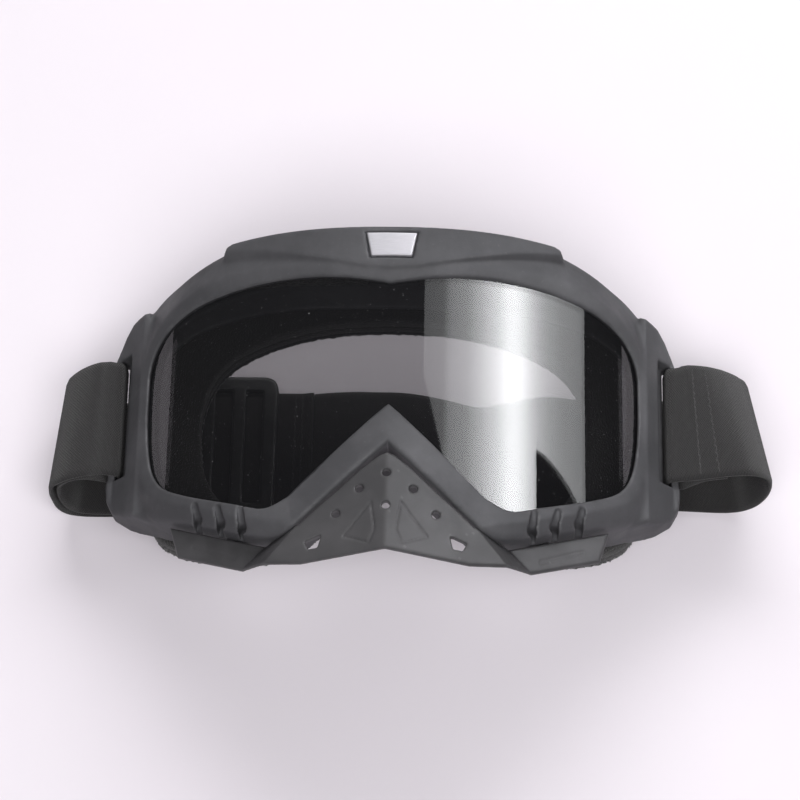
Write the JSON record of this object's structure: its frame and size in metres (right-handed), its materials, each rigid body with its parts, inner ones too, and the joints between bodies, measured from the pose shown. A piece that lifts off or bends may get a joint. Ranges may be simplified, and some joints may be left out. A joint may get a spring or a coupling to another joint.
{
  "type": "motorcycle goggles",
  "caption": "Motorcycle goggles with a flexible vented frame, cylindrical smoke lens, beaked nose guard, layered face foam and elastic strap with a slider.",
  "frame": {"origin": "underside of the strap's rear stretch, in the frame's plane of symmetry; the goggles lie face up on Z = 0", "axes": "+X to the wearer's left along the goggles' width, +Y towards the brow, +Z out of the lens"},
  "size_m": [0.2329, 0.1094, 0.0879],
  "materials": {
    "frame_rubber": "satin moulded thermoplastic rubber",
    "smoke_lens": "glossy smoke-tinted polycarbonate",
    "badge_silver": "glossy silver inlay",
    "guard_plastic": "semi-gloss moulded plastic",
    "foam": "open-cell polyurethane foam",
    "fleece": "brushed fleece",
    "filter_foam": "coarse reticulated foam",
    "webbing": "woven elastic",
    "slider_plastic": "moulded nylon",
    "thread": "polyester thread"
  },
  "bodies": {
    "goggles": {"frame_shell": "frame_rubber", "lens": "smoke_lens", "brow_badge": "badge_silver", "foam_base": "foam", "foam_core": "foam", "fleece_liner": "fleece", "top_vent_filter_left": "filter_foam", "top_vent_filter_right": "filter_foam", "bottom_vent_filter_left": "filter_foam", "bottom_vent_filter_right": "filter_foam", "strap": "webbing", "end_stitching": "thread", "tail_stitching": "thread"},
    "guard": {"nose_guard": "guard_plastic"},
    "slider": {"strap_slider": "slider_plastic"}
  },
  "joints": [
    {"name": "nose_guard_unclip", "type": "slide", "parent": "goggles", "child": "guard", "axis": [0, -1, 0], "range_m": [0, 0.03]},
    {"name": "slider_adjust", "type": "slide", "parent": "goggles", "child": "slider", "axis": [1, 0, 0], "range_m": [-0.014, 0.007]}
  ]
}
